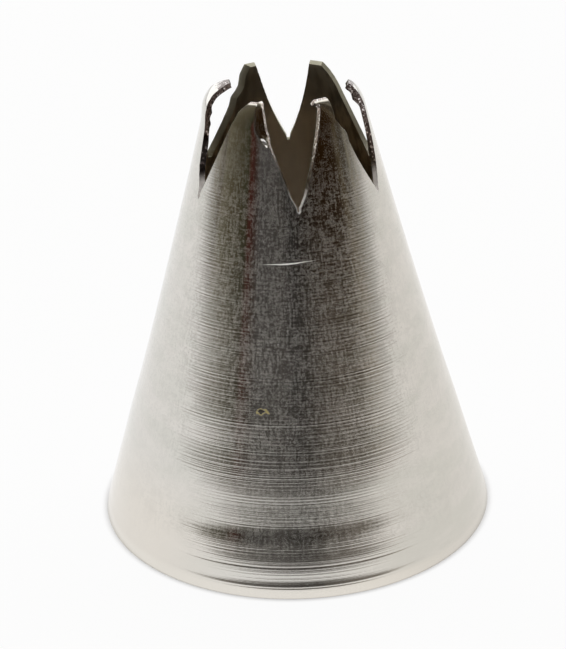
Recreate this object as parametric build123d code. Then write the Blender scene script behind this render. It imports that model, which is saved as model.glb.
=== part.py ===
"""An open star piping nozzle: one seamless cone of thin stainless steel, spun over a former, with six
V notches sawn down from its small end so that the metal left between them stands as six pointed teeth.

The nozzle stands on its wide end. The origin is the centre of that rim, +Z runs up the axis to the
teeth, and the front notch faces -Y. Sizes are in millimetres and angles in degrees.
"""

import os
from math import asin, atan, cos, degrees, hypot, radians, sin

from build123d import *

# The cone
base_diameter = 32.0  # across the outside of the wide rim, before its edges are broken
shoulder_diameter = 12.3  # across the outside, where the tooth ends start to curve in
shoulder_height = 34.3  # from the rim up to that same circle
wall = 0.4  # thickness of the sheet, square to its surface
waist_sag = 0.25  # how far the side's two straight tapers meet inside a line from rim to shoulder
waist_radius = 250.0  # outside radius of the easy curve that joins those tapers
rim_bevel = 0.1  # the two edges of the wide rim are broken by this much

# The tooth ends, pressed in towards the axis above the shoulder
end_length = 2.1  # along the outside of a curved end
end_turn = 40.0  # how far an end curves from the line of the side
tooth_tip_width = 1.0  # the blunt end left on each tooth

# The notches
tooth_count = 6
notch_bottom_height = 28.35  # from the rim up to the bottom of the deepest V
notch_bow = 0.3  # how far each side of a V bows out from a straight line
notch_root_radius = 0.15

# The notches are sawn and the ends pressed in by hand, so no two teeth are quite alike. In each table
# the entries go round anticlockwise as seen from above. Tooth 0 is just left of the front, and notch 0
# is the front one, on its right.
tooth_shift_shares = [0.09, 0.09, -0.02, 0.0, 0.0, 0.07]  # of the even pitch, moving the tooth's end
notch_shift_shares = [0.105, 0.05, -0.08, -0.03, -0.04, -0.01]  # of the even pitch
notch_rise_shares = [0.0, 0.0, 0.08, 0.09, 0.08, 0.0]  # of the depth from shoulder to deepest bottom
notch_bow_shares = [1.0, 2.4, 1.0, 1.0, 2.4, 0.6]
tip_width_shares = [1.0, 0.6, 1.0, 1.1, 0.9, 1.0]
end_length_shares = [1.0, 1.0, 1.0, 1.0, 1.0, 1.4]
end_turn_shares = [1.0, 0.9, 1.0, 0.5, 0.5, 1.4]

overrun = 2.0  # how far a cut runs past the metal it removes

full_turn = 360.0
front = -90.0  # the direction of -Y


def pick(shares, index):
    """The share for this tooth or notch, going round again past the last."""
    return shares[index % len(shares)]


def side_lean():
    """The angle between the side's upper taper and the axis."""
    run = (base_diameter - shoulder_diameter) / 2
    chord = hypot(run, shoulder_height)
    return degrees(atan(run / shoulder_height) - atan(2 * waist_sag / chord))


def along_shoulder(radius, turned):
    """The step from the centre of an end's curve to a point of it, so many degrees past the shoulder."""
    angle = radians(side_lean() + turned)
    return Vector(cos(angle), sin(angle)) * radius


def shoulder_point(depth):
    """The point of the section at the shoulder, at this depth below the outer surface."""
    return Vector(shoulder_diameter / 2, shoulder_height) - along_shoulder(depth, 0)


def tooth_turn(index):
    """How far this tooth's end curves in."""
    return end_turn * pick(end_turn_shares, index)


def bend_radius(index):
    """The outside radius of this tooth's curve."""
    return end_length * pick(end_length_shares, index) / radians(tooth_turn(index))


def bend_point(index, depth, turned):
    """A point of this tooth's curve, at a depth below the outer surface."""
    centre = shoulder_point(bend_radius(index))
    return centre + along_shoulder(bend_radius(index) - depth, turned)


def waist_point(foot, shoulder):
    """Where the two tapers between a foot and a shoulder point would meet if no curve joined them."""
    along = shoulder - foot
    inwards = Vector(-along.Y, along.X).normalized()
    return (foot + shoulder) / 2 + inwards * waist_sag


def cone_section():
    """Half of the plain cone cut through its axis: the thin wall, from the rim up to the shoulder."""
    across = wall / cos(radians(side_lean()))
    outer_foot = Vector(base_diameter / 2, 0)
    inner_foot = Vector(base_diameter / 2 - across, 0)
    outer_shoulder = shoulder_point(0)
    inner_shoulder = shoulder_point(wall)
    inner_radius = waist_radius + wall
    with BuildSketch(Plane.XZ) as section:
        with BuildLine():
            FilletPolyline(
                outer_foot, waist_point(outer_foot, outer_shoulder), outer_shoulder, radius=waist_radius
            )
            Line(outer_shoulder, inner_shoulder)
            FilletPolyline(
                inner_shoulder, waist_point(inner_foot, inner_shoulder), inner_foot, radius=inner_radius
            )
            Line(inner_foot, outer_foot)
        make_face()
        chamfer(section.vertices().sort_by(Axis.Y)[:2], length=rim_bevel)
    return section.sketch


def tooth_end_section(index):
    """The same wall carried on above the shoulder, along the curve of this tooth's end."""
    turn = tooth_turn(index)
    with BuildSketch(Plane.XZ) as section:
        with BuildLine():
            ThreePointArc(shoulder_point(0), bend_point(index, 0, turn / 2), bend_point(index, 0, turn))
            Line(bend_point(index, 0, turn), bend_point(index, wall, turn))
            ThreePointArc(
                bend_point(index, wall, turn), bend_point(index, wall, turn / 2), shoulder_point(wall)
            )
            Line(shoulder_point(wall), shoulder_point(0))
        make_face()
    return section.sketch


def tooth_direction(index):
    """Where the end of a tooth stands, in degrees round the axis."""
    pitch = full_turn / tooth_count
    return front + pitch * (index + pick(tooth_shift_shares, index)) - pitch / 2


def notch_direction(index):
    """Where the bottom of a notch stands. It lies between the tooth of the same index and the next."""
    pitch = full_turn / tooth_count
    return front + pitch * (index + pick(notch_shift_shares, index))


def tooth_end(index):
    """The curved end of one tooth, as a piece of ring between the bottoms of the notches beside it."""
    start = notch_direction(index - 1)
    ring = revolve(tooth_end_section(index), Axis.Z, notch_direction(index) - start)
    return ring.rotate(Axis.Z, start)


def notch_bottom(index):
    """The height of the bottom of this notch."""
    depth = shoulder_height - notch_bottom_height
    return notch_bottom_height + depth * pick(notch_rise_shares, index)


def tooth_corner(tooth, notch, side):
    """The top corner of a tooth beside a notch, seen square to that notch, -1 for its left side."""
    tip = bend_point(tooth, 0, tooth_turn(tooth))
    half_width = tooth_tip_width * pick(tip_width_shares, tooth) / 2
    half_angle = degrees(asin(half_width / tip.X))
    turned = tooth_direction(tooth) - side * half_angle - notch_direction(notch)
    return Vector(tip.X * sin(radians(turned)), tip.Y)


def notch_side(notch, corner, side):
    """The bow and the top end of one side of a notch, carried on past the tooth's corner."""
    bottom = Vector(0, notch_bottom(notch))
    along = corner - bottom
    outwards = Vector(along.Y, -along.X).normalized() * side
    middle = (bottom + corner) / 2 + outwards * notch_bow * pick(notch_bow_shares, notch)
    return middle, Vector(corner.X, corner.Y + overrun)


def notch_cutter(index):
    """One sawn V, as a prism that runs out from the axis through the wall on one side only."""
    bottom = Vector(0, notch_bottom(index))
    left = tooth_corner(index, index, -1)
    right = tooth_corner(index + 1, index, 1)
    left_middle, left_top = notch_side(index, left, -1)
    right_middle, right_top = notch_side(index, right, 1)
    with BuildSketch(Plane.XZ) as outline:
        with BuildLine():
            ThreePointArc(bottom, right_middle, right)
            Polyline(right, right_top, left_top, left)
            ThreePointArc(left, left_middle, bottom)
        make_face()
        fillet(outline.vertices().sort_by(Axis.Y)[0], radius=notch_root_radius)
    prism = extrude(outline.sketch, amount=base_diameter / 2)
    return prism.rotate(Axis.Z, notch_direction(index) - front)


def star_nozzle():
    """The finished nozzle: the spun cone and its pressed-in tooth ends, less the notches."""
    nozzle = revolve(cone_section(), Axis.Z)
    for index in range(tooth_count):
        nozzle += tooth_end(index)
    for index in range(tooth_count):
        nozzle -= notch_cutter(index)
    return nozzle


os.makedirs("parts", exist_ok=True)
export_step(star_nozzle(), "parts/star_nozzle.step")
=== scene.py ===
"""An open star piping nozzle of thin spun steel, standing on a white floor.

The nozzle's outer face is laid out tooth by tooth, each tooth with the side below it, and then
gets the thickness of the sheet. The nozzle's sizes are in millimetres, turned into metres where a
mesh or a material is made; the room round it is in metres.
"""

from math import asin, atan, cos, degrees, hypot, pi, radians, sin, sqrt, tan

import bmesh
import bpy
from mathutils import Matrix, Vector, noise

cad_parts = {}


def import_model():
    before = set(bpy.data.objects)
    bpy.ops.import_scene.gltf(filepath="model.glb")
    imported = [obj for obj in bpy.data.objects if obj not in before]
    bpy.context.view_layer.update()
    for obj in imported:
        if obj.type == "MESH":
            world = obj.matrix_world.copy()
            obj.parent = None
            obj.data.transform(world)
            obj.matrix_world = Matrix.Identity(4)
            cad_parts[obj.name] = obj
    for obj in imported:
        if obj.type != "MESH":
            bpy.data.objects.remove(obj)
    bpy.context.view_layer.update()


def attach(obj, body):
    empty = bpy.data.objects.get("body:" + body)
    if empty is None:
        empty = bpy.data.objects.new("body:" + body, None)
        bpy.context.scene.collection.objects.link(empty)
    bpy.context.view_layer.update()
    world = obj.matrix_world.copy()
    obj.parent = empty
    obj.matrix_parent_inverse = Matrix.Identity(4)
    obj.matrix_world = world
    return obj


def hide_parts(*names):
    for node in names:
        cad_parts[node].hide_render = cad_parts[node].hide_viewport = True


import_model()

mm = 0.001

# The cone, as the part's source has it
base_diameter = 32.0
shoulder_diameter = 12.3
shoulder_height = 34.3
wall = 0.4
waist_sag = 0.25
waist_fullness = 3.6  # 4 would give the whole sag half way up; the rounded waist has a little less
slope_step = 0.01  # the side's lean is read off between points this far above and below

# The tooth ends
end_length = 2.1
end_turn = 40.0
tooth_tip_width = 1.0

# The notches
tooth_count = 6
notch_bottom_height = 28.35
notch_bow = 0.3
notch_root_radius = 0.15
tooth_shift_shares = [0.09, 0.09, -0.02, 0.0, 0.0, 0.07]
notch_shift_shares = [0.105, 0.05, -0.08, -0.03, -0.04, -0.01]
notch_rise_shares = [0.0, 0.0, 0.08, 0.09, 0.08, 0.0]
notch_bow_shares = [1.0, 2.4, 1.0, 1.0, 2.4, 0.6]
tip_width_shares = [1.0, 0.6, 1.0, 1.1, 0.9, 1.0]
end_length_shares = [1.0, 1.0, 1.0, 1.0, 1.0, 1.4]
end_turn_shares = [1.0, 0.9, 1.0, 0.5, 0.5, 1.4]
front = -90.0
pitch = 360.0 / tooth_count

# How finely the surface is laid out: columns across each tooth, rows up its end, and below the
# notches the step from row to row and the height that each step goes up to
columns = 34
tooth_rows = 60
row_steps = ((0.14, 0.14), (0.06, 2.7), (0.2, 9.5), (0.9, 28.28), (0.07, 28.98))

# How close the columns next to the sawn edges keep to them, and the most that this may be as a
# share of the tooth's width
edge_column = 0.14
edge_column_share = 0.2

# Points closer than this are one: between neighbouring teeth, and between the two faces and the cut
tooth_seam = 0.003
cut_seam = 0.001

# The side is drawn in a little towards the rim, by this much at the rim and by nothing from this
# height up, so that the roller's marks stay inside the solid's box
rim_draw = 0.05
rim_draw_height = 8.0

# Up to this height the inner face is laid out from a little further up the side, so that it ends on
# the floor and not below it
inner_slide_height = 8.0

# Shallow waves left by spinning and handling: depth, changes round the axis and up it, and the
# height by which they have their full depth
wave_depth = 0.018
waves_round = 1.3
waves_up = 0.10
wave_start = 2.0

# Marks of the spinning roller: height, half length and lean in degrees, all round the side
roller_marks = (
    (0.2, 0.65, -4.5),
    (1.05, 0.16, 2.6),
    (1.65, 0.45, -1.3),
    (2.25, 0.14, 1.8),
    (7.3, 0.9, -0.6),
    (10.5, 2.6, 1.0),
)

# Flats pressed into one part of the side: height, half length, lean, middle angle and half reach in
# degrees from the front, and how much lower they run for every radian to the right
pressed_flats = (
    (3.1, 0.8, 1.8, -2.0, 62.0, 0.0),
    (4.2, 1.1, 2.0, -15.0, 62.0, 0.0),
    (4.75, 0.85, 2.25, -3.0, 54.0, -0.3),
    (11.6, 1.4, -1.9, -42.0, 36.0, 0.0),
    (14.5, 3.2, 0.7, -10.0, 60.0, 0.0),
)

# Dents along the sawn edges: tooth, side, lower end, middle and upper end, and the step outwards
edge_dents = (
    (1, -1, 33.6, 34.6, 36.3, -0.45),
    (1, -1, 32.7, 33.4, 33.9, 0.10),
    (4, -1, 33.4, 34.3, 35.4, -0.22),
    (4, -1, 32.6, 33.4, 33.9, 0.15),
    (0, 1, 35.0, 35.5, 36.3, 0.10),
    (5, -1, 34.2, 34.7, 35.2, 0.10),
    (5, -1, 29.2, 30.6, 35.6, -0.25),
    (0, -1, 30.3, 34.2, 40.0, -0.42),
    (0, -1, 28.7, 29.5, 31.2, -0.12),
    (1, 1, 28.7, 29.5, 31.2, -0.08),
)

# Saw marks: their depth, deeper on the two side teeth, how many to the millimetre, the share and
# the closeness of the finer ones, and steps that give every edge marks of its own
saw_depth = 0.018
side_saw_depth = 0.035
side_teeth = (2, 5)
saw_marks = 2.6
fine_saw_share = 0.6
fine_saw_marks = 3.1
own_marks = (7.3, 5.1)

# Burrs that thicken an edge inwards: tooth, side, height, half length and thickness
edge_burrs = (
    (2, 1, 35.2, 0.9, 0.30),
    (2, 1, 36.2, 0.4, 0.15),
    (5, -1, 34.6, 0.5, 0.14),
    (5, -1, 33.7, 0.3, 0.10),
    (0, -1, 30.0, 0.4, 0.10),
)
burr_across = 0.2  # the share of the tooth's width that a burr takes up

# How far a slanting cut lets the inner face stand out past the outer one, or stand back from it
# where the step is negative: tooth, side, step, the height where it ends and the share of the
# tooth's width that moves with the edge
cut_slants = (
    (1, 1, 0.10, 40.0, 0.2),
    (0, -1, 0.06, 40.0, 0.2),
    (5, -1, 0.22, 33.2, 0.2),
    (4, -1, -0.35, 40.0, 0.55),
    (3, 1, 0.05, 40.0, 0.2),
)

# How far the last of a tooth's end is rolled over, in the order of the teeth
tip_rolls = (0.10, 0.14, 0.05, 0.0, 0.0, 0.10)
tip_roll_length = 0.3

# How much of each tooth's end is ground and smeared like a cut edge, how uneven the border of that
# is, how fast it changes from column to column, and a step that gives every tooth its own border
worn_tips = (0.16, 0.14, 0.5, 0.1, 0.1, 0.9)
worn_unevenness = 0.6
worn_waves = 0.35
own_worn = 5.0

# The fold along one tooth's right edge: where it starts across the tooth, how much that line
# wanders and how fast, which part of the noise it reads, its lower end, how much lower it begins at
# the edge, over what height it sets in, its depth at the edge and how that grows
folded_tooth = 0
fold_across = 0.78
fold_wander = 0.06
fold_waves = 1.7
fold_own = 3.3
fold_foot = 33.8
fold_drop = 0.6
fold_ease = 0.5
fold_depth = 0.42
fold_growth = 0.7

# One tooth bulges outwards: how far, the heights where this sets in, and those where it ends
bulged_tooth = 5
bulge = 0.22
bulge_from = (33.0, 35.2)
bulge_to = (35.8, 36.9)

# The torn flag at one tooth's left corner: its length, how far across the tooth it reaches, and the
# heights over which it grows
flagged_tooth = 1
flag_length = 0.5
flag_across = 0.35
flag_heights = (35.95, 36.2)

# The broken edges of the sheet: their width and the sharpest fold, in degrees, that is left alone
broken_edge = 0.11
kept_angle = 50

# The finishes of the sheet, in the order of the piece's materials
outside, inside, cut = range(3)


def pick(shares, index):
    """The share for this tooth or notch, going round again past the last."""
    return shares[index % len(shares)]


def in_metres(sizes):
    """The same sizes in metres."""
    return tuple(size * mm for size in sizes)


def smooth_step(low, high, value):
    """0 below low, 1 above high, and an easy curve between."""
    share = min(1.0, max(0.0, (value - low) / (high - low)))
    return share * share * (3 - 2 * share)


def side_lean():
    """The angle between the side's upper taper and the axis, in radians."""
    run = (base_diameter - shoulder_diameter) / 2
    return atan(run / shoulder_height) - atan(2 * waist_sag / hypot(run, shoulder_height))


def side_radius(height):
    """The outside radius of the plain cone."""
    share = height / shoulder_height
    straight = base_diameter / 2 + (shoulder_diameter - base_diameter) / 2 * share
    return straight - waist_sag * waist_fullness * share * (1 - share)


def tooth_direction(index):
    """Where the middle of a tooth stands round the axis, in degrees."""
    return front + pitch * (index + pick(tooth_shift_shares, index)) - pitch / 2


def notch_direction(index):
    """Where the notch to the right of a tooth stands round the axis, in degrees."""
    return front + pitch * (index + pick(notch_shift_shares, index))


def notch_bottom(index):
    """The height of a notch's root."""
    depth = shoulder_height - notch_bottom_height
    return notch_bottom_height + depth * pick(notch_rise_shares, index)


def end_size(index):
    """The turn in radians and the outside radius of a tooth's curve."""
    turn = radians(end_turn * pick(end_turn_shares, index))
    return turn, end_length * pick(end_length_shares, index) / turn


def tooth_profile(index, along):
    """Radius, height and lean of a tooth's outer face, so far up the side and the curved end."""
    if along <= shoulder_height:
        narrowing = side_radius(along - slope_step) - side_radius(along + slope_step)
        slope = narrowing / (2 * slope_step)
        return side_radius(along), along, atan(slope)
    lean = side_lean()
    bend = end_size(index)[1]
    angle = lean + (along - shoulder_height) / bend
    centre_radius = side_radius(shoulder_height) - cos(lean) * bend
    centre_height = shoulder_height - sin(lean) * bend
    return centre_radius + cos(angle) * bend, centre_height + sin(angle) * bend, angle


def tooth_reach(index):
    """How far up the side a tooth goes, measured as tooth_profile measures it."""
    return shoulder_height + end_length * pick(end_length_shares, index)


def edge_width(notch, tooth, side, height):
    """How far a notch's side stands from the notch's middle plane at a height."""
    tip_radius, tip_height = tooth_profile(tooth, tooth_reach(tooth))[:2]
    bottom = notch_bottom(notch)
    rise = height - bottom
    if rise <= 0:
        return 0.0
    half_tip = tooth_tip_width * pick(tip_width_shares, tooth) / 2
    turned = tooth_direction(tooth) - side * degrees(asin(half_tip / tip_radius))
    corner = abs(tip_radius * sin(radians(turned - notch_direction(notch))))
    share = rise / (tip_height - bottom)
    bow = notch_bow * pick(notch_bow_shares, notch) * 4 * share * (1 - share)
    near = min(rise, notch_root_radius)
    rounded = sqrt(notch_root_radius ** 2 - (notch_root_radius - near) ** 2)
    return max(corner * share + bow, rounded)


def dent(tooth, side, along):
    """How far the sawn edge stands out from its line here, dents and saw marks together."""
    step = 0.0
    for dented, dented_side, low, middle, high, height in edge_dents:
        if dented == tooth and dented_side == side and low < along < high:
            reach = along - low if along < middle else high - along
            step += height * reach / (middle - low if along < middle else high - middle)
    rough = side_saw_depth if tooth in side_teeth else saw_depth
    place = Vector((along * saw_marks, tooth * own_marks[0], side * own_marks[1]))
    fine = rough * fine_saw_share * noise.noise(place * fine_saw_marks)
    return step + rough * noise.noise(place) + fine


def edge_direction(notch, tooth, side, along):
    """Where a notch's side stands round the axis so far up the tooth, in degrees."""
    radius, height = tooth_profile(tooth, along)[:2]
    width = edge_width(notch, tooth, side, height)
    if height > notch_bottom(notch) + notch_root_radius:
        width -= dent(tooth, side, along)
    return notch_direction(notch) + side * degrees(asin(min(1.0, width / radius)))


def leaning_step(height, middle, half_length, lean):
    """How far a short lean of the side draws in all that is above it."""
    place = min(1.0, max(-1.0, (height - middle) / half_length))
    passed = half_length * (place + sin(pi * place) / pi + 1) / 2
    return tan(radians(lean)) * passed


def roller_step(height, direction):
    """How far the draw at the rim, the roller's marks and the flats move the side outwards."""
    step = -rim_draw * (1 - smooth_step(0.0, rim_draw_height, height))
    step -= sum(leaning_step(height, *mark) for mark in roller_marks)
    turned = (direction - radians(front) + pi) % (2 * pi) - pi
    for middle, half_length, lean, angle, reach, fall in pressed_flats:
        away = abs(turned - radians(angle)) / radians(reach)
        if away < 1:
            share = (1 + cos(pi * away)) / 2
            step -= share * leaning_step(height, middle - fall * turned, half_length, lean)
    return step


def hand_waves(height, direction):
    """The shallow unevenness left by spinning and handling."""
    place = (cos(direction) * waves_round, sin(direction) * waves_round, height * waves_up)
    return wave_depth * min(1.0, height / wave_start) * noise.noise(Vector(place))


def tooth_damage(tooth, across, along):
    """Handling marks of each tooth: a step inwards and one sideways, both in millimetres."""
    inwards = 0.0
    sideways = 0.0
    if tooth == folded_tooth:
        wander = noise.noise(Vector((along * fold_waves, fold_own, 0.0)))
        edge = fold_across + fold_wander * wander
        folded = max(0.0, across - edge) / (1 - edge)
        foot = fold_foot - fold_drop * folded
        inwards += fold_depth * folded ** fold_growth * smooth_step(foot, foot + fold_ease, along)
    rolled = max(0.0, 1 - (tooth_reach(tooth) - along) / tip_roll_length)
    inwards += tip_rolls[tooth] * rolled * rolled
    if tooth == bulged_tooth:
        inwards -= bulge * smooth_step(*bulge_from, along) * (1 - smooth_step(*bulge_to, along))
    if tooth == flagged_tooth:
        flag = (1 - smooth_step(0.0, flag_across, across)) * smooth_step(*flag_heights, along)
        sideways -= flag_length * flag
    return inwards, sideways


def burr(tooth, across, along):
    """How much thicker the sheet is here, where a burr was pushed inwards."""
    thicker = 0.0
    for burred, side, middle, half_length, height in edge_burrs:
        if burred == tooth:
            reach = max(0.0, 1 - abs(along - middle) / half_length)
            from_edge = across if side == 1 else 1 - across
            thicker += height * reach * max(0.0, 1 - from_edge / burr_across)
    return thicker


def row_heights():
    """The heights that every tooth shares, from the rim up past the last notch bottom."""
    rows = [0.0]
    for step, top in row_steps:
        while rows[-1] + step <= top:
            rows.append(rows[-1] + step)
    return rows


def across_share(column, width):
    """How far across the tooth a column lies; those next to the edges keep close to them."""
    if column in (0, columns):
        return column / columns
    edge = min(edge_column / width, edge_column_share)
    return edge + (1 - 2 * edge) * (column - 1) / (columns - 2)


def outer_point(tooth, column, along):
    """A point of the outer face, the direction it faces, and how far across its tooth it lies."""
    radius, height, lean = tooth_profile(tooth, along)
    left = radians(edge_direction(tooth - 1, tooth, 1, along))
    right = radians(edge_direction(tooth, tooth, -1, along))
    across = across_share(column, (right - left) * radius)
    direction = left + (right - left) * across
    inwards, sideways = tooth_damage(tooth, across, along)
    place = radius - inwards + roller_step(height, direction) + hand_waves(height, direction)
    turned = direction + sideways / radius
    facing = Vector((cos(lean) * cos(direction), cos(lean) * sin(direction), sin(lean)))
    return Vector((place * cos(turned), place * sin(turned), height)), facing, across


def inner_point(tooth, column, along):
    """The point of the inner face behind an outer one; it slides up near the rim."""
    slide = wall * sin(side_lean()) * max(0.0, 1 - along / inner_slide_height)
    point, facing, across = outer_point(tooth, column, along + slide)
    lining = point - facing * (wall + burr(tooth, across, along))
    for slanted, side, step, end, drawn in cut_slants:
        if slanted == tooth and along > notch_bottom_height:
            from_edge = across if side == 1 else 1 - across
            outwards = Vector((facing.y, -facing.x, 0)).normalized() * side
            share = max(0.0, 1 - from_edge / drawn) * (1 - smooth_step(end - 1, end, along))
            lining += outwards * step * share
    lining.z = max(0.0, lining.z)
    return lining


def lay_out_tooth(built, tooth, rows, from_tip, behind):
    """A tooth's outer face with the side below it: a flat grid, moved into place point by point."""
    reach = tooth_reach(tooth)
    alongs = list(rows)
    for row in range(1, tooth_rows + 1):
        alongs.append(rows[-1] + (reach - rows[-1]) * row / tooth_rows)
    steps = len(alongs) - 1
    grid = bmesh.ops.create_grid(
        built, x_segments=columns, y_segments=steps, size=1.0, calc_uvs=True
    )
    for vert in grid["verts"]:
        column = round((vert.co.x + 1) / 2 * columns)
        along = alongs[round((vert.co.y + 1) / 2 * steps)]
        vert[behind] = inner_point(tooth, column, along) * mm
        vert.co = outer_point(tooth, column, along)[0] * mm
        border = noise.noise(Vector((column * worn_waves, tooth * own_worn, 0.0)))
        uneven = 1 + worn_unevenness * border
        vert[from_tip] = (reach - along) / (worn_tips[tooth] * uneven)


def move_behind(parts, behind, finish):
    """Points go to their places on the inner face, and faces get a finish."""
    for part in parts:
        if isinstance(part, bmesh.types.BMVert):
            part.co = part[behind]
        if isinstance(part, bmesh.types.BMFace):
            part.material_index = finish


def star_nozzle_mesh():
    """The nozzle's outer face, its inner face and the cut edges between them."""
    built = bmesh.new()
    built.loops.layers.uv.new("around")
    from_tip = built.verts.layers.float.new("from_tip")
    behind = built.verts.layers.float_vector.new("behind")
    rows = row_heights()
    for tooth in range(tooth_count):
        lay_out_tooth(built, tooth, rows, from_tip, behind)
    bmesh.ops.remove_doubles(built, verts=built.verts, dist=tooth_seam * mm)
    bmesh.ops.recalc_face_normals(built, faces=built.faces)
    skin = built.faces[:]
    for face in skin:
        if max(vert[from_tip] for vert in face.verts) < 1:
            face.material_index = cut
    boundary = [edge for edge in built.edges if edge.is_boundary]
    edges = bmesh.ops.extrude_edge_only(built, edges=boundary)["geom"]
    move_behind(edges, behind, cut)
    lining = bmesh.ops.duplicate(built, geom=skin)["geom"]
    move_behind(lining, behind, inside)
    lining_faces = [part for part in lining if isinstance(part, bmesh.types.BMFace)]
    bmesh.ops.reverse_faces(built, faces=lining_faces)
    bmesh.ops.remove_doubles(built, verts=built.verts, dist=cut_seam * mm)
    for face in built.faces:
        face.smooth = True
    return finished_mesh(built, "star_nozzle_skin")


def finished_mesh(built, name):
    """A mesh with what was built."""
    mesh = bpy.data.meshes.new(name)
    built.to_mesh(mesh)
    built.free()
    return mesh


def placed(name, content):
    """An object in the scene that holds a mesh or a camera's lens."""
    holder = bpy.data.objects.new(name, content)
    bpy.context.scene.collection.objects.link(holder)
    return holder


# How strong the turned lines, the fine scratches and the dust are at each share of this height
steel_height = 36.0
line_strength = (
    (0.0, 0.55), (0.12, 0.45), (0.16, 0.3), (0.225, 0.32), (0.25, 0.85),
    (0.33, 0.85), (0.38, 0.55), (0.76, 0.37), (0.84, 0.25), (1.0, 0.15),
)
grain_strength = (
    (0.0, 0.3), (0.2, 0.4), (0.32, 0.75), (0.5, 1.0), (0.74, 1.0), (0.86, 0.55), (1.0, 0.3),
)
dust_strength = (
    (0.0, 0.1), (0.07, 0.2), (0.12, 0.7), (0.17, 0.5), (0.22, 0.45),
    (0.3, 0.75), (0.5, 1.0), (0.8, 1.0), (1.0, 0.2),
)

# The turned lines: their pitch, how strongly it shows among the uneven ones and how much it drifts
line_pitch = 0.26
line_evenness = 0.11
line_drift = 9.0

# Uneven streaks: changes to the radian round the axis and to the metre up it, and levels of detail
line_streaks = (0.12, 9500.0, 2.0)
drift_streaks = (0.1, 900.0, 2.0)
level_streaks = (9.0, 5200.0, 2.0)
upright_streaks = (70.0, 900.0, 2.0)
cloud_streaks = (2.5, 700.0, 3.0)
dust_streaks = (9.0, 900.0, 4.0)
lining_line_streaks = (0.5, 3000.0, 3.0)
lining_upright_streaks = (25.0, 500.0, 2.0)
film_streaks = (9.0, 500.0, 3.0)
streak_roughness = 0.55

# Lumps that are alike in all directions: how many to the metre, levels of detail and roughness
scuff_lumps = (5200.0, 3.0, 0.6)
speck_lumps = (4200.0, 1.0, 0.5)
stain_lumps = (2300.0, 1.0, 0.5)
cut_lumps = (5000.0, 2.0, 0.5)

# How deep the reliefs are, in millimetres, and how deep each mark is beside the turned lines
line_depth = 0.007
lining_depth = 0.008
cut_depth = 0.022
worn_depth = 0.17
scratch_depth = -7.0
glint_depth = -26.0
lining_upright = 0.6

# What the wear is made of beside its scuffs: the shares of the level and of the upright scratches
level_share = 0.4
upright_share = 0.7

# How noise is parted: two shades of steel or film, specks, and smeared and bare cut edges
shade_levels = (0.35, 0.65)
speck_levels = (0.72, 0.84)
cut_levels = (0.5, 0.66)
side_cut_levels = (0.57, 0.66)

# The scratch across the front, a real groove whose colour is painted near white as a highlight
# along it: height, rise to the radian, half width, the angle that its middle stands to the left of
# the front, and how it fades to its ends
scratch_height = 24.76
scratch_rise = 0.5
scratch_half_width = 0.05
scratch_left = 0.01
scratch_ends = ((0.03, 1.0), (0.11, 0.4), (0.16, 0.1), (0.34, 0.0))

# The painted glint at the front left tooth, a near white spot that stands in for a highlight: its
# middle, half sizes, lean in degrees and softness
glint_middle = (-1.55, -6.1, 33.4)
glint_half_sizes = (0.45, 0.6, 0.2)
glint_lean = 45
glint_fade = (0.3, 1.0)

# The stain low in front: its middle, how it is stretched, how ragged it is, and the borders of its
# dark middle and of the yellow ring round it
stain_middle = (-2.40, -11.5, 13.9)
stain_stretch = (1.15, 1.15, 0.6)
stain_ragged = 0.9
stain_dark = (0.66, 0.76)
stain_ring_from = (0.70, 0.80)
stain_ring_to = (0.84, 0.94)

# Borders between finishes, painted light and shade among them: heights in millimetres, and angles
# from the front in radians
rim_heights = (0.5, 1.1)
rim_angles = (0.3, 1.0)
low_left_heights = (3.0, 9.0)
low_left_angles = (-0.9, -0.2)
smudge_angles = (0.4, 0.8)
root_heights = (29.4, 30.4)
mouth_heights = (30.5, 34.0)
side_edge_angles = (1.03, 1.12)
back_edge_angles = (1.9, 2.1)
back_lining_angles = (2.4, 2.95)

# The dust: the share that its patches add to the wear, the levels at which it starts and is full,
# and how much it covers where it is full
dust_patches = 0.5
dust_levels = (1.18, 1.42)
most_dust = 0.17

# The smudges: their strength in front and elsewhere, and the wear at which they change nothing
smudge_strength = (0.9, 0.2)
even_wear = 1.05

# How rough the outside is where it is plain, and how much rougher each mark makes it
plain_rough = 0.07
dusty_rough = 0.4
speck_rough = 0.15
scratch_rough = 0.2
ring_rough = 0.3

# How much less the stain's ring and the painted glint look like bare metal, and how strong some
# tints are, painted light and shade among them
ring_dull = -0.5
glint_dull = -0.3
stain_dark_share = 0.6
# How much of the rim's painted brightening is left at the right
right_rim_share = 0.25
# How strongly the back of the lining is painted lighter, a painted glow
back_lining_share = 0.9
# How dark the painted shade makes the lining at the mouth
painted_shade_at_mouth = 0.5

# How far reflections are drawn out, and their turn from the direction round the axis, in turns
drawn_out = 0.6
drawn_turn = 0.25

# The lining's and the cut edges' roughness, and what the notch roots and the back add to roughness,
# to bare metal and to relief
lining_rough = 0.42
cut_rough = 0.16
root_rough, back_rough = 0.3, 0.3
root_bare, back_bare = -0.85, -0.2
root_coarse, back_coarse = 0.8, -0.9

# Colours of the outside: steel, painted brightening low left and at the rim, the stain, and the
# painted highlights of the scratch and the glint
steel_shades = ((0.66, 0.645, 0.60), (0.70, 0.675, 0.635))
painted_bright_low_left_colour = (0.735, 0.695, 0.635)
painted_bright_rim_colour = (0.76, 0.725, 0.665)
stain_dark_shade = (0.12, 0.10, 0.06)
stain_ring_shade = (0.80, 0.68, 0.30)
scratch_painted_highlight = (0.95, 0.94, 0.92)
painted_glint_colour = (1.0, 0.98, 0.97)

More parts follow.
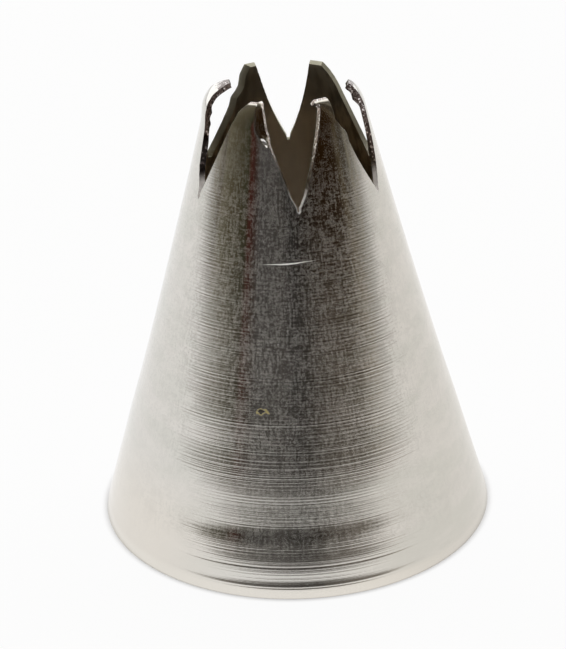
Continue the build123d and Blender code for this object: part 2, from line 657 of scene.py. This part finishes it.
# Colours of the lining and of the cut edges: smeared and bare, and at special places: a painted
# glow on the lining's back, painted shade on the side teeth's edges, a painted highlight at the
# notch roots, and the back edges
film_shades = ((0.44, 0.37, 0.27), (0.80, 0.70, 0.54))
painted_glow_back_lining_colour = (1.0, 0.86, 0.68)
cut_shades = ((0.36, 0.31, 0.28), (0.90, 0.87, 0.84))
painted_dark_side_cut_shades = ((0.14, 0.11, 0.10), (0.90, 0.84, 0.83))
painted_root_highlight_colour = (1.0, 0.97, 0.95)
back_cut_shade = (0.56, 0.54, 0.43)


def shader(name):
    """A fresh material with its nodes and its Principled shader."""
    material = bpy.data.materials.new(name)
    material.use_nodes = True
    tree = material.node_tree
    return material, tree, tree.nodes["Principled BSDF"]


def feed(tree, value, socket):
    """A socket gets a link, a colour or a number."""
    if isinstance(value, tuple):
        socket.default_value = (*value, 1)
    elif isinstance(value, (int, float)):
        socket.default_value = value
    else:
        tree.links.new(value, socket)


def calculate(tree, operation, *values):
    """A Math node; numbers are typed in and sockets are linked."""
    node = tree.nodes.new("ShaderNodeMath")
    node.operation = operation
    for socket, value in zip(node.inputs, values):
        feed(tree, value, socket)
    return node.outputs[0]


def fade(tree, value, low, high, start=0.0, end=1.0):
    """An easy change from start to end while the value goes from low to high."""
    node = tree.nodes.new("ShaderNodeMapRange")
    node.interpolation_type = "SMOOTHSTEP"
    tree.links.new(value, node.inputs["Value"])
    numbers = {"From Min": low, "From Max": high, "To Min": start, "To Max": end}
    for name, number in numbers.items():
        node.inputs[name].default_value = number
    return node.outputs["Result"]


def fade_out(tree, value, low, high, end=0.0):
    """An easy change from 1 to end while the value goes from low to high."""
    return fade(tree, value, low, high, 1.0, end)


def mix_colour(tree, share, first, second, blend="MIX"):
    """Two colours mixed; each is a socket or a colour."""
    node = tree.nodes.new("ShaderNodeMix")
    node.data_type = "RGBA"
    node.blend_type = blend
    for name, value in (("Factor", share), ("A", first), ("B", second)):
        feed(tree, value, [s for s in node.inputs if s.name == name and s.enabled][0])
    return [s for s in node.outputs if s.enabled][0]


def colour_ramp(tree, value, stops):
    """A colour ramp with the given stops; a colour of one number is a grey."""
    ramp = tree.nodes.new("ShaderNodeValToRGB")
    tree.links.new(value, ramp.inputs[0])
    while len(ramp.color_ramp.elements) < len(stops):
        ramp.color_ramp.elements.new(0.5)
    for element, (position, colour) in zip(ramp.color_ramp.elements, stops):
        element.position = position
        element.color = (*colour, 1) if isinstance(colour, tuple) else (colour, colour, colour, 1)
    return ramp.outputs[0]


def noise_at(tree, place, scale, detail, roughness):
    """Noise at a place, so many lumps to its unit."""
    texture = tree.nodes.new("ShaderNodeTexNoise")
    numbers = {"Scale": scale, "Detail": detail, "Roughness": roughness}
    for name, number in numbers.items():
        texture.inputs[name].default_value = number
    tree.links.new(place, texture.inputs["Vector"])
    return texture.outputs["Fac"]


def streaks(tree, angle, height, across, up, detail):
    """Noise that changes so many times a radian round the axis and so many times a metre up it."""
    combine = tree.nodes.new("ShaderNodeCombineXYZ")
    for socket, operation in zip(combine.inputs, ("SINE", "COSINE")):
        round_axis = calculate(tree, operation, angle)
        tree.links.new(calculate(tree, "MULTIPLY", round_axis, across), socket)
    tree.links.new(calculate(tree, "MULTIPLY", height, up), combine.inputs[2])
    return noise_at(tree, combine.outputs[0], 1.0, detail, streak_roughness)


def around_and_up(tree):
    """The place on the piece, its angle from the front in radians, and its height, in metres."""
    place = tree.nodes.new("ShaderNodeTexCoord").outputs["Object"]
    split = tree.nodes.new("ShaderNodeSeparateXYZ")
    tree.links.new(place, split.inputs[0])
    x, y, z = split.outputs
    return place, calculate(tree, "ARCTAN2", x, calculate(tree, "MULTIPLY", y, -1.0)), z


def length_of(tree, vector):
    """How long a vector is."""
    node = tree.nodes.new("ShaderNodeVectorMath")
    node.operation = "LENGTH"
    tree.links.new(vector, node.inputs[0])
    return node.outputs["Value"]


def from_mark(tree, place, middle, stretch, lean=0):
    """How far a place is from a mark's middle, for a mark that is stretched and leans about y."""
    frame_of_mark = tree.nodes.new("ShaderNodeMapping")
    frame_of_mark.vector_type = "TEXTURE"
    frame_of_mark.inputs["Location"].default_value = in_metres(middle)
    frame_of_mark.inputs["Rotation"].default_value = (0, radians(lean), 0)
    frame_of_mark.inputs["Scale"].default_value = stretch
    tree.links.new(place, frame_of_mark.inputs["Vector"])
    return length_of(tree, frame_of_mark.outputs[0])


def relief(tree, principled, depth, distance):
    """The relief of a finish, so many millimetres deep where the depth is 1."""
    bump = tree.nodes.new("ShaderNodeBump")
    bump.inputs["Strength"].default_value = 1.0
    bump.inputs["Distance"].default_value = distance * mm
    tree.links.new(depth, bump.inputs["Height"])
    tree.links.new(bump.outputs[0], principled.inputs["Normal"])


def turned_lines(tree, angle, height, up_share):
    """The lines that turning left round the side: uneven ones with a steady pitch among them."""
    lines = streaks(tree, angle, height, *line_streaks)
    drift = streaks(tree, angle, height, *drift_streaks)
    phase = calculate(tree, "MULTIPLY", height, 2 * pi / (line_pitch * mm))
    phase = calculate(tree, "MULTIPLY_ADD", drift, line_drift, phase)
    steady = calculate(tree, "SINE", phase)
    lines = calculate(tree, "MULTIPLY_ADD", steady, line_evenness, lines)
    return calculate(tree, "MULTIPLY", lines, colour_ramp(tree, up_share, line_strength))


def wear(tree, place, angle, height):
    """How worn the steel is: scuffs, with fine scratches round the side and up and down it."""
    scuffs = noise_at(tree, place, *scuff_lumps)
    level = streaks(tree, angle, height, *level_streaks)
    upright = streaks(tree, angle, height, *upright_streaks)
    worn = calculate(tree, "MULTIPLY_ADD", level, level_share, scuffs)
    return calculate(tree, "MULTIPLY_ADD", upright, upright_share, worn)


def front_scratch(tree, angle, height):
    """The single scratch across the front: 1 on it, and 0 away from it."""
    above = calculate(tree, "SUBTRACT", height, scratch_height * mm)
    above = calculate(tree, "MULTIPLY_ADD", angle, -scratch_rise * mm, above)
    above = calculate(tree, "ABSOLUTE", above)
    aside = calculate(tree, "ABSOLUTE", calculate(tree, "ADD", angle, scratch_left))
    return calculate(
        tree, "MULTIPLY",
        fade_out(tree, above, 0.0, scratch_half_width * mm),
        colour_ramp(tree, aside, scratch_ends),
    )


def stain(tree, place):
    """The stain low in front: its yellow ring and its dark middle, both from 0 to 1."""
    ragged = calculate(
        tree, "MULTIPLY_ADD", noise_at(tree, place, *stain_lumps), stain_ragged * mm,
        from_mark(tree, place, stain_middle, stain_stretch),
    )
    ring = calculate(
        tree, "MULTIPLY",
        fade(tree, ragged, *in_metres(stain_ring_from)),
        fade_out(tree, ragged, *in_metres(stain_ring_to)),
    )
    return ring, fade_out(tree, ragged, *in_metres(stain_dark))


def tint_with_painted_brightening(tree, angle, height):
    """The outside's colour without marks: a little cloudy, and painted lighter and warmer low left
    and at the rim to brighten the reflections there.
    """
    cloudy = fade(tree, streaks(tree, angle, height, *cloud_streaks), *shade_levels)
    tint = mix_colour(tree, cloudy, *steel_shades)
    # painted brightening low on the front left
    low_left = calculate(
        tree, "MULTIPLY",
        fade_out(tree, height, *in_metres(low_left_heights)),
        fade_out(tree, angle, *low_left_angles),
    )
    tint = mix_colour(tree, low_left, tint, painted_bright_low_left_colour)
    # painted brightening at the rim, less of it to the right
    rim = calculate(
        tree, "MULTIPLY",
        fade_out(tree, height, *in_metres(rim_heights)),
        fade_out(tree, angle, *rim_angles, right_rim_share),
    )
    return mix_colour(tree, rim, tint, painted_bright_rim_colour)


def brushed_round(tree, principled):
    """Reflections drawn out across the turned lines."""
    tangent = tree.nodes.new("ShaderNodeTangent")
    tangent.direction_type = "UV_MAP"
    tangent.uv_map = "around"
    tree.links.new(tangent.outputs[0], principled.inputs["Tangent"])
    principled.inputs["Anisotropic"].default_value = drawn_out
    principled.inputs["Anisotropic Rotation"].default_value = drawn_turn


def outside_steel():
    """Spun steel: turned lines, wear, specks and dust, with a scratch, a stain and a painted glint.
    """
    material, tree, principled = shader("outside_steel")
    place, angle, height = around_and_up(tree)
    up_share = calculate(tree, "MULTIPLY", height, 1 / (steel_height * mm))
    grain = colour_ramp(tree, up_share, grain_strength)
    dusty = colour_ramp(tree, up_share, dust_strength)
    worn = wear(tree, place, angle, height)
    scratch = front_scratch(tree, angle, height)
    from_glint = from_mark(tree, place, glint_middle, in_metres(glint_half_sizes), glint_lean)
    glint = fade_out(tree, from_glint, *glint_fade)
    ring, stained = stain(tree, place)

    depth = turned_lines(tree, angle, height, up_share)
    depth = calculate(
        tree, "MULTIPLY_ADD", calculate(tree, "MULTIPLY", worn, grain), worn_depth, depth
    )
    depth = calculate(tree, "MULTIPLY_ADD", scratch, scratch_depth, depth)
    depth = calculate(tree, "MULTIPLY_ADD", glint, glint_depth, depth)
    relief(tree, principled, depth, line_depth)

    patches = streaks(tree, angle, height, *dust_streaks)
    haze = calculate(tree, "MULTIPLY_ADD", patches, dust_patches, worn)
    haze = calculate(tree, "MULTIPLY", fade(tree, haze, *dust_levels, 0.0, most_dust), dusty)
    aside = calculate(tree, "ABSOLUTE", angle)
    smudged = fade(tree, aside, *smudge_angles, *smudge_strength)
    smudged = calculate(tree, "MULTIPLY", smudged, dusty)
    shade = calculate(
        tree, "MULTIPLY_ADD", calculate(tree, "SUBTRACT", worn, even_wear), smudged, 1.0
    )
    tint = tint_with_painted_brightening(tree, angle, height)
    dark = calculate(tree, "MULTIPLY", stained, stain_dark_share)
    tint = mix_colour(tree, dark, tint, stain_dark_shade)
    tint = mix_colour(tree, ring, tint, stain_ring_shade)
    # painted highlight: the scratch's colour is painted near white
    tint = mix_colour(tree, scratch, tint, scratch_painted_highlight)
    tint = mix_colour(tree, 1.0, tint, shade, "MULTIPLY")
    # painted highlight: the glint is a spot painted near white
    tint = mix_colour(tree, glint, tint, painted_glint_colour)
    tree.links.new(tint, principled.inputs["Base Color"])

    bare = calculate(tree, "SUBTRACT", 1.0, haze)
    bare = calculate(tree, "MULTIPLY_ADD", ring, ring_dull, bare)
    bare = calculate(tree, "MULTIPLY_ADD", glint, glint_dull, bare)
    tree.links.new(bare, principled.inputs["Metallic"])

    specks = fade(tree, noise_at(tree, place, *speck_lumps), *speck_levels)
    specks = calculate(tree, "MULTIPLY", specks, grain)
    rough = calculate(tree, "MULTIPLY_ADD", haze, dusty_rough, plain_rough)
    rough = calculate(tree, "MULTIPLY_ADD", specks, speck_rough, rough)
    rough = calculate(tree, "MULTIPLY_ADD", scratch, scratch_rough, rough)
    rough = calculate(tree, "MULTIPLY_ADD", ring, ring_rough, rough)
    tree.links.new(rough, principled.inputs["Roughness"])
    brushed_round(tree, principled)
    return material


def inside_steel():
    """The lining: duller, with lines and a brownish film, a painted glow on its back, and painted
    shade that darkens it towards the teeth's ends.
    """
    material, tree, principled = shader("inside_steel")
    _, angle, height = around_and_up(tree)
    lines = streaks(tree, angle, height, *lining_line_streaks)
    upright = streaks(tree, angle, height, *lining_upright_streaks)
    depth = calculate(tree, "MULTIPLY_ADD", upright, lining_upright, lines)
    relief(tree, principled, depth, lining_depth)

    film = fade(tree, streaks(tree, angle, height, *film_streaks), *shade_levels)
    tint = mix_colour(tree, film, *film_shades)
    # painted glow: the back of the lining is painted lighter
    back = fade(tree, calculate(tree, "ABSOLUTE", angle), *back_lining_angles)
    back = calculate(tree, "MULTIPLY", back, back_lining_share)
    tint = mix_colour(tree, back, tint, painted_glow_back_lining_colour)
    # painted shade: the lining is painted darker towards the teeth's ends
    shade = fade_out(tree, height, *in_metres(mouth_heights), painted_shade_at_mouth)
    tint = mix_colour(tree, 1.0, tint, shade, "MULTIPLY")
    tree.links.new(tint, principled.inputs["Base Color"])
    principled.inputs["Metallic"].default_value = 1.0
    principled.inputs["Roughness"].default_value = lining_rough
    return material


def cut_steel():
    """The sawn edges: pitted and smeared; painted shade darkens them at the sides and a painted
    highlight lightens the notch roots; dull and smooth at the back.
    """
    material, tree, principled = shader("cut_steel")
    place, angle, height = around_and_up(tree)
    aside = calculate(tree, "ABSOLUTE", angle)
    back = fade(tree, aside, *back_edge_angles)
    root = fade_out(tree, height, *in_metres(root_heights))
    lumps = noise_at(tree, place, *cut_lumps)
    coarse = calculate(tree, "MULTIPLY_ADD", back, back_coarse, 1.0)
    coarse = calculate(tree, "MULTIPLY_ADD", root, root_coarse, coarse)
    relief(tree, principled, calculate(tree, "MULTIPLY", lumps, coarse), cut_depth)

    tint = mix_colour(tree, fade(tree, lumps, *cut_levels), *cut_shades)
    # painted shade: the edges of the side teeth are painted darker
    dark = mix_colour(tree, fade(tree, lumps, *side_cut_levels), *painted_dark_side_cut_shades)
    tint = mix_colour(tree, fade(tree, aside, *side_edge_angles), tint, dark)
    # painted highlight: the notch roots are painted near white
    tint = mix_colour(tree, root, tint, painted_root_highlight_colour)
    tint = mix_colour(tree, back, tint, back_cut_shade)
    tree.links.new(tint, principled.inputs["Base Color"])

    rough = calculate(tree, "MULTIPLY_ADD", root, root_rough, cut_rough)
    rough = calculate(tree, "MULTIPLY_ADD", back, back_rough, rough)
    tree.links.new(rough, principled.inputs["Roughness"])
    bare = calculate(tree, "MULTIPLY_ADD", root, root_bare, 1.0)
    bare = calculate(tree, "MULTIPLY_ADD", back, back_bare, bare)
    tree.links.new(bare, principled.inputs["Metallic"])
    return material


def star_nozzle():
    """The finished nozzle, with outside, inside and cut-edge finishes."""
    piece = placed("star_nozzle_piece", star_nozzle_mesh())
    for material in (outside_steel(), inside_steel(), cut_steel()):
        piece.data.materials.append(material)
    soft = piece.modifiers.new("broken_edges", "BEVEL")
    soft.width = broken_edge * mm
    soft.segments = 2
    soft.limit_method = "ANGLE"
    soft.angle_limit = radians(kept_angle)
    soft.use_clamp_overlap = True
    soft.harden_normals = True
    soft.material = cut
    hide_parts("star_nozzle")
    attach(piece, "root")


# The stage: a floor and on it a round tent that is open above, in metres, and the light from above
tent_radius = 2.0
tent_height = 7.5
tent_segments = 128
floor_size = 2.2
room_light = 2.0

# The floor's own white and roughness, and how the steel mirrors it: the distances between which it
# dims, and how bright it is beyond them
floor_white = 0.9
floor_rough = 0.9
dim_distances = (0.05, 1.8)
far_floor = 0.32

# Its right side is a little dimmer and warmer, between these shares of the way to the right
dimmer_side = (0.2, 1.0)
dimmer_floor = 0.92
warmer_side = (-0.2, 0.8)
warm_white = (1.0, 0.98, 0.95)

# Within the smaller of these radii, in millimetres, the floor is its plain self, and beyond the
# larger one this share of it glows as above
foot_radii = (15.5, 16.5)
floor_glow = 0.95

# The tent's cloth as the steel mirrors it: an angle from the front in degrees and a colour or a
# grey. The walls are what the teeth and the upper side mirror, the waist what the middle of the
# side does, and the horizon what its low part does
walls = (
    (-180, 1.4), (-130, 1.4), (-112, (1.36, 1.31, 1.2)), (-104, (0.46, 0.44, 0.39)),
    (-95, (0.20, 0.185, 0.15)), (-86, (0.16, 0.145, 0.11)), (-81, (0.09, 0.075, 0.06)),
    (-76, (0.145, 0.13, 0.09)), (-62, (0.094, 0.082, 0.052)), (-48, (0.066, 0.058, 0.036)),
    (-42, (0.038, 0.04, 0.022)), (-39, (0.066, 0.015, 0.01)), (-34, (0.048, 0.026, 0.02)),
    (-28, (0.085, 0.08, 0.078)), (-8, (0.065, 0.06, 0.056)), (0, (0.032, 0.029, 0.028)),
    (12, (0.014, 0.009, 0.006)), (30, (0.018, 0.008, 0.002)), (50, (0.021, 0.010, 0.003)),
    (60, (0.028, 0.015, 0.006)), (67, (0.085, 0.066, 0.04)), (72, (0.04, 0.03, 0.019)),
    (79, (0.06, 0.05, 0.035)), (82, (0.21, 0.19, 0.147)), (86, (0.08, 0.072, 0.055)),
    (91, (0.19, 0.177, 0.15)), (97, (0.33, 0.315, 0.28)), (108, (1.36, 1.31, 1.2)),
    (126, 1.4), (180, 1.4),
)
waist = (
    (-180, 1.4), (-130, 1.4), (-112, (1.36, 1.31, 1.2)), (-104, (0.5, 0.475, 0.43)),
    (-95, (0.26, 0.245, 0.215)), (-76, (0.18, 0.17, 0.145)), (-62, (0.125, 0.118, 0.098)),
    (-48, (0.076, 0.071, 0.056)), (-40, (0.078, 0.06, 0.052)), (-34, (0.067, 0.062, 0.055)),
    (-26, (0.09, 0.086, 0.082)), (-8, (0.088, 0.083, 0.079)), (2, (0.066, 0.062, 0.059)),
    (12, (0.076, 0.069, 0.062)), (20, (0.15, 0.135, 0.12)), (38, (0.18, 0.158, 0.136)),
    (52, (0.19, 0.167, 0.137)), (62, (0.24, 0.216, 0.18)), (76, (0.34, 0.312, 0.267)),
    (82, (0.48, 0.448, 0.395)), (97, (0.6, 0.57, 0.51)), (108, (1.36, 1.31, 1.2)),
    (126, 1.4), (180, 1.4),
)
horizon = (
    (-180, 1.0), (-130, 1.0), (-112, (0.98, 0.945, 0.87)), (-97, (0.34, 0.318, 0.272)),
    (-80, (0.28, 0.26, 0.222)), (-58, (0.38, 0.36, 0.32)), (-20, (0.28, 0.265, 0.245)),
    (0, (0.19, 0.18, 0.171)), (20, (0.17, 0.16, 0.148)), (48, (0.28, 0.257, 0.222)),
    (57, (0.52, 0.475, 0.41)), (72, (0.50, 0.455, 0.39)), (82, (0.38, 0.35, 0.30)),
    (97, (0.45, 0.42, 0.37)), (112, (0.98, 0.945, 0.87)), (130, 1.0), (180, 1.0),
)

# Where the tent's colours change, as heights in metres. The border under the walls is given as at
# the sides of the tent. In front it is higher by this much, because the nozzle's front mirrors
# higher parts of the tent than its sides do
horizon_border = (-0.04, 0.15)
walls_border = (-0.10, -0.045)
side_drop = 0.3

# The pattern is a little wider above: its turns to the radian below and above these heights
widening_heights = (0.22, 0.36)
turns_below = 0.5 / pi
turns_above = 0.46 / pi

# The camera: a long lens, where it stands, what it looks at, and its roll in degrees
sensor_width = 36.0
lens_length = 101.9
camera_place = (0.0, -133.5, 79.8)
camera_aim = (-0.69, 0.0, 15.66)
camera_roll = -2.01


def floor():
    """The white floor that the nozzle stands on; as the steel mirrors it, it dims far away."""
    built = bmesh.new()
    bmesh.ops.create_grid(built, x_segments=1, y_segments=1, size=floor_size)
    ground = placed("floor", finished_mesh(built, "floor"))
    material, tree, principled = shader("white_floor")
    principled.inputs["Base Color"].default_value = (floor_white, floor_white, floor_white, 1)
    principled.inputs["Roughness"].default_value = floor_rough
    principled.inputs["Specular IOR Level"].default_value = 0.0

    place = tree.nodes.new("ShaderNodeTexCoord").outputs["Object"]
    away = length_of(tree, place)
    split = tree.nodes.new("ShaderNodeSeparateXYZ")
    tree.links.new(place, split.inputs[0])
    sidewards = calculate(tree, "DIVIDE", split.outputs[0], away)
    path = tree.nodes.new("ShaderNodeLightPath").outputs
    far = calculate(
        tree, "MULTIPLY",
        fade_out(tree, away, *dim_distances, far_floor),
        fade_out(tree, sidewards, *dimmer_side, dimmer_floor),
    )
    mirrored = calculate(tree, "SUBTRACT", 1.0, path["Is Camera Ray"])
    warmth = calculate(tree, "MULTIPLY", mirrored, fade(tree, sidewards, *warmer_side))
    glow = tree.nodes.new("ShaderNodeEmission")
    tree.links.new(mix_colour(tree, warmth, (1.0, 1.0, 1.0), warm_white), glow.inputs["Color"])
    strength = calculate(tree, "MAXIMUM", far, path["Is Camera Ray"])
    tree.links.new(strength, glow.inputs["Strength"])

    seen = calculate(tree, "MAXIMUM", path["Is Camera Ray"], path["Is Glossy Ray"])
    seen = calculate(tree, "MAXIMUM", seen, path["Is Transmission Ray"])
    lit = fade(tree, away, *in_metres(foot_radii), 0.0, floor_glow)
    mixed = tree.nodes.new("ShaderNodeMixShader")
    tree.links.new(calculate(tree, "MULTIPLY", seen, lit), mixed.inputs[0])
    tree.links.new(principled.outputs[0], mixed.inputs[1])
    tree.links.new(glow.outputs[0], mixed.inputs[2])
    tree.links.new(mixed.outputs[0], tree.nodes["Material Output"].inputs[0])
    ground.data.materials.append(material)
    return ground


def tent_stops(colours):
    """The stops of a colour ramp that goes once round the tent, from the back to the back."""
    return [(0.5 + at / 360, colour) for at, colour in colours]


def tent():
    """The room round the nozzle: dark in front, where the camera is, and a white wall behind."""
    built = bmesh.new()
    bmesh.ops.create_cone(
        built, cap_ends=False, segments=tent_segments,
        radius1=tent_radius, radius2=tent_radius, depth=tent_height,
    )
    bmesh.ops.translate(built, verts=built.verts, vec=(0, 0, tent_height / 2))
    cloth = placed("tent", finished_mesh(built, "tent"))
    cloth.visible_camera = False
    cloth.visible_shadow = False

    material, tree, _ = shader("tent_cloth")
    tree.nodes.clear()
    output = tree.nodes.new("ShaderNodeOutputMaterial")
    glow = tree.nodes.new("ShaderNodeEmission")
    tree.links.new(glow.outputs[0], output.inputs[0])
    _, angle, height = around_and_up(tree)
    turns = fade(tree, height, *widening_heights, turns_below, turns_above)
    turn = calculate(tree, "MULTIPLY_ADD", angle, turns, 0.5)
    upper, middle, lower = (
        colour_ramp(tree, turn, tent_stops(colours)) for colours in (walls, waist, horizon)
    )
    levelled = calculate(
        tree, "MULTIPLY_ADD", calculate(tree, "COSINE", angle), -side_drop, height
    )
    upper = mix_colour(tree, fade(tree, levelled, *walls_border), middle, upper)
    colour = mix_colour(tree, fade(tree, height, *horizon_border), lower, upper)
    tree.links.new(colour, glow.inputs["Color"])
    cloth.data.materials.append(material)
    return cloth


def world():
    """White to the camera, and a soft white light overhead."""
    room = bpy.data.worlds.new("studio")
    bpy.context.scene.world = room
    room.use_nodes = True
    tree = room.node_tree
    background = tree.nodes["Background"]
    background.inputs["Color"].default_value = (1, 1, 1, 1)
    path = tree.nodes.new("ShaderNodeLightPath").outputs
    strength = calculate(tree, "SUBTRACT", room_light, path["Is Camera Ray"])
    tree.links.new(strength, background.inputs["Strength"])


def camera():
    """The photograph's camera: a long lens, looking down at the nozzle."""
    lens = bpy.data.cameras.new("camera")
    lens.sensor_width = sensor_width
    lens.lens = lens_length
    eye = placed("camera", lens)
    place = Vector(camera_place) * mm
    forward = (Vector(camera_aim) * mm - place).normalized()
    right = forward.cross(Vector((0, 0, 1))).normalized()
    up = right.cross(forward)
    roll = radians(camera_roll)
    tilted_right = right * cos(roll) + up * sin(roll)
    tilted_up = up * cos(roll) - right * sin(roll)
    turn = Matrix((tilted_right, tilted_up, -forward)).transposed()
    eye.matrix_world = Matrix.Translation(place) @ turn.to_4x4()
    bpy.context.scene.camera = eye


star_nozzle()
floor()
tent()
world()
camera()
bpy.context.scene.view_settings.view_transform = "Standard"
